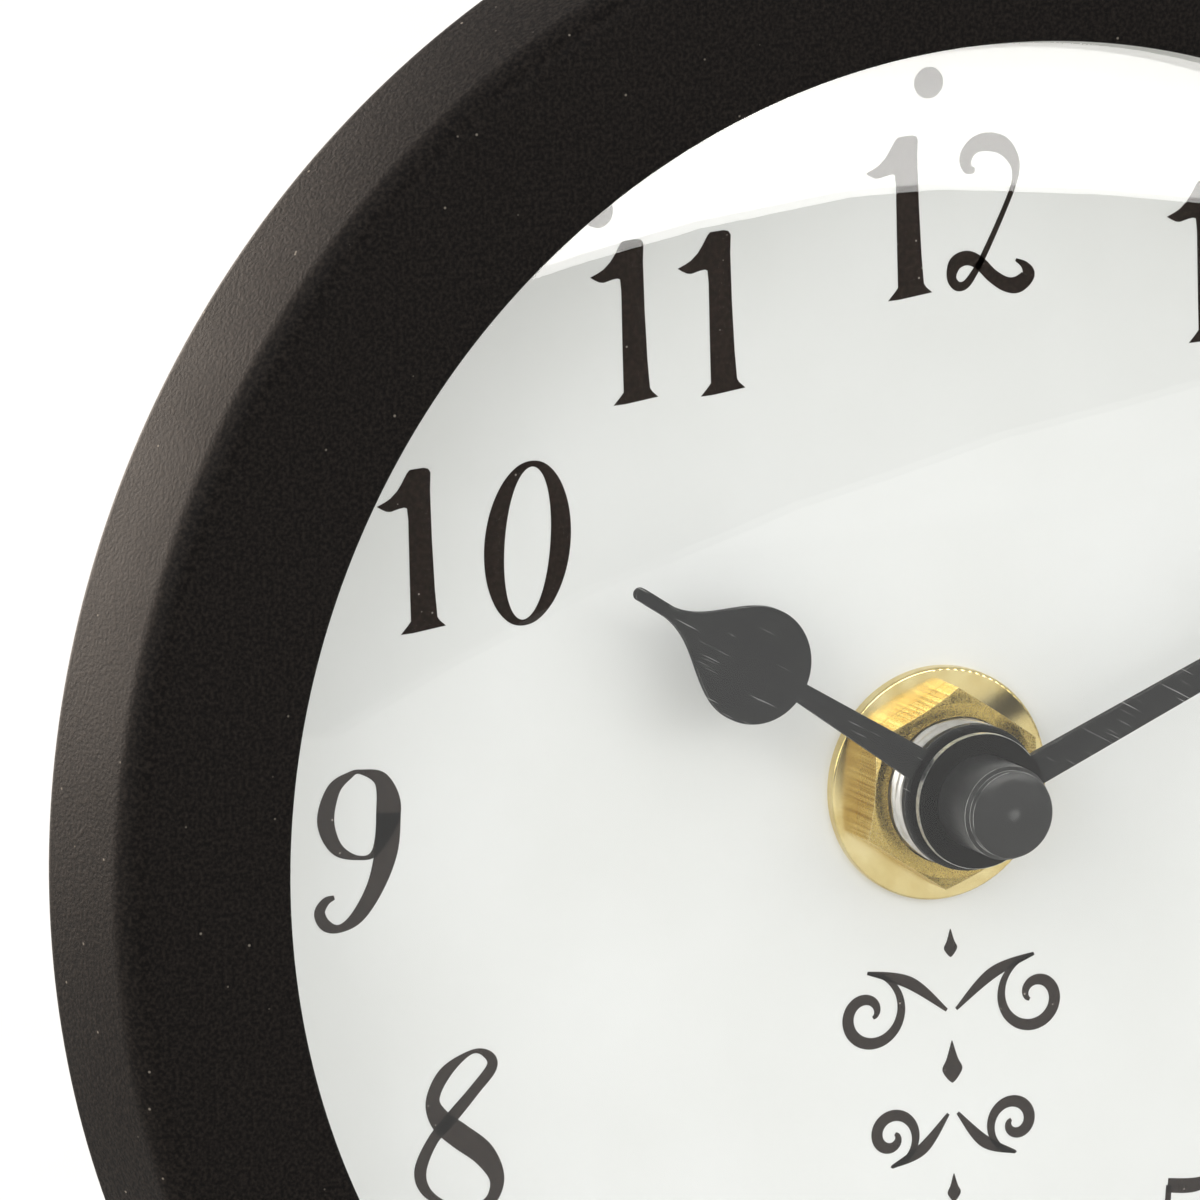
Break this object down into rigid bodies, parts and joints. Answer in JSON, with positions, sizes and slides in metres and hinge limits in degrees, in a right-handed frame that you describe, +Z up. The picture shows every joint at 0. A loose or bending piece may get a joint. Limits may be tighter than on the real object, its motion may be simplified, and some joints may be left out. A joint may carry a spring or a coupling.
{
  "type": "desk clock",
  "caption": "Round black desk clock on a pedestal: domed glass in a pressed bezel, white dial, spade hands and a geared quartz movement with set knob and battery behind.",
  "frame": {"origin": "middle of the base's underside, on the table", "axes": "+Z up, the dial faces -Y, +X to the viewer's right"},
  "size_m": [0.1322, 0.084, 0.1541],
  "materials": {
    "black_painted_steel": "fine sand-textured satin paint",
    "black_painted_hands": "matte black paint on sheet aluminium",
    "dome_glass": "clear, polished",
    "white_dial": "white printed sheet",
    "white_plastic": "moulded, matte",
    "polished_brass": "turned and polished",
    "nickelled_brass": "nickel plated",
    "bare_steel": "zinc plated",
    "black_plastic": "moulded, fine spark texture",
    "wheel_plastic": "natural acetal",
    "copper_wire": "enamelled copper winding",
    "board": "glass-fibre board",
    "resin": "potting resin",
    "rubber": "soft rubber",
    "felt": "pressed felt",
    "cell_can": "plain printed sleeve"
  },
  "bodies": {
    "case": {"bezel": "black_painted_steel", "case_bowl": "black_painted_steel", "dial_seat": "bare_steel", "dial": "white_dial", "spacer_ring": "white_plastic", "glass": "dome_glass", "glass_gasket": "rubber", "stem_bush": "nickelled_brass", "stem_gasket": "rubber", "dial_washer": "polished_brass", "dial_nut": "polished_brass", "stator": "bare_steel", "coil_core": "bare_steel", "coil_bobbin": "wheel_plastic", "coil_winding": "copper_wire", "circuit_board": "board", "chip": "resin", "quartz_crystal": "bare_steel", "movement_case": "black_plastic", "train_plate": "wheel_plastic", "movement_cover": "black_plastic", "contact_plus": "nickelled_brass", "contact_minus": "nickelled_brass", "stand_neck": "black_painted_steel", "neck_saddle": "bare_steel", "neck_screw": "bare_steel", "stand_base": "black_painted_steel", "base_bolt": "bare_steel", "felt_pad": "felt"},
    "minute": {"minute_arbor": "polished_brass", "minute_hand": "black_painted_hands", "hand_cap": "black_painted_hands", "clutch_spring": "bare_steel", "clutch_collar": "bare_steel"},
    "hour": {"hour_wheel": "wheel_plastic", "hour_hand": "black_painted_hands"},
    "motion": {"motion_wheel": "wheel_plastic"},
    "setting": {"setting_arbor": "wheel_plastic", "set_knob": "black_plastic"},
    "rotor": {"rotor": "wheel_plastic", "rotor_magnet": "bare_steel"},
    "intermediate": {"intermediate_wheel": "wheel_plastic"},
    "second": {"second_wheel": "wheel_plastic"},
    "third": {"third_wheel": "wheel_plastic"},
    "centre": {"centre_wheel": "wheel_plastic"},
    "battery": {"battery": "cell_can"}
  },
  "joints": [
    {"name": "minute_turn", "type": "hinge", "parent": "case", "child": "minute", "pos_m": [0, -0.007, 0.088], "axis": [0, 1, 0], "continuous": true},
    {"name": "hour_turn", "type": "hinge", "parent": "case", "child": "hour", "pos_m": [0, -0.007, 0.088], "axis": [0, 1, 0], "continuous": true},
    {"name": "motion_turn", "type": "hinge", "parent": "case", "child": "motion", "pos_m": [0.00643, -0.007, 0.0934], "axis": [0, 1, 0], "continuous": true},
    {"name": "setting_turn", "type": "hinge", "parent": "case", "child": "setting", "pos_m": [0.01433, -0.007, 0.09627], "axis": [0, 1, 0], "continuous": true},
    {"name": "rotor_turn", "type": "hinge", "parent": "case", "child": "rotor", "pos_m": [0.00766, -0.007, 0.10089], "axis": [0, 1, 0], "continuous": true},
    {"name": "intermediate_turn", "type": "hinge", "parent": "case", "child": "intermediate", "pos_m": [0.00299, -0.007, 0.09622], "axis": [0, 1, 0], "continuous": true},
    {"name": "second_turn", "type": "hinge", "parent": "case", "child": "second", "pos_m": [0, -0.007, 0.088], "axis": [0, 1, 0], "continuous": true},
    {"name": "third_turn", "type": "hinge", "parent": "case", "child": "third", "pos_m": [-0.0072, -0.007, 0.09605], "axis": [0, 1, 0], "continuous": true},
    {"name": "centre_turn", "type": "hinge", "parent": "case", "child": "centre", "pos_m": [0, -0.007, 0.088], "axis": [0, 1, 0], "continuous": true},
    {"name": "battery_slide", "type": "slide", "parent": "case", "child": "battery", "axis": [0, 1, 0], "range_m": [0, 0.03]}
  ],
  "couplings": [
    {"joint": "hour_turn", "follows": "minute_turn", "ratio": 0.083333},
    {"joint": "motion_turn", "follows": "minute_turn", "ratio": -0.33333},
    {"joint": "setting_turn", "follows": "minute_turn", "ratio": 1},
    {"joint": "intermediate_turn", "follows": "rotor_turn", "ratio": -0.2},
    {"joint": "second_turn", "follows": "rotor_turn", "ratio": 0.033333},
    {"joint": "third_turn", "follows": "rotor_turn", "ratio": -0.0044444},
    {"joint": "centre_turn", "follows": "rotor_turn", "ratio": 0.00055556}
  ]
}
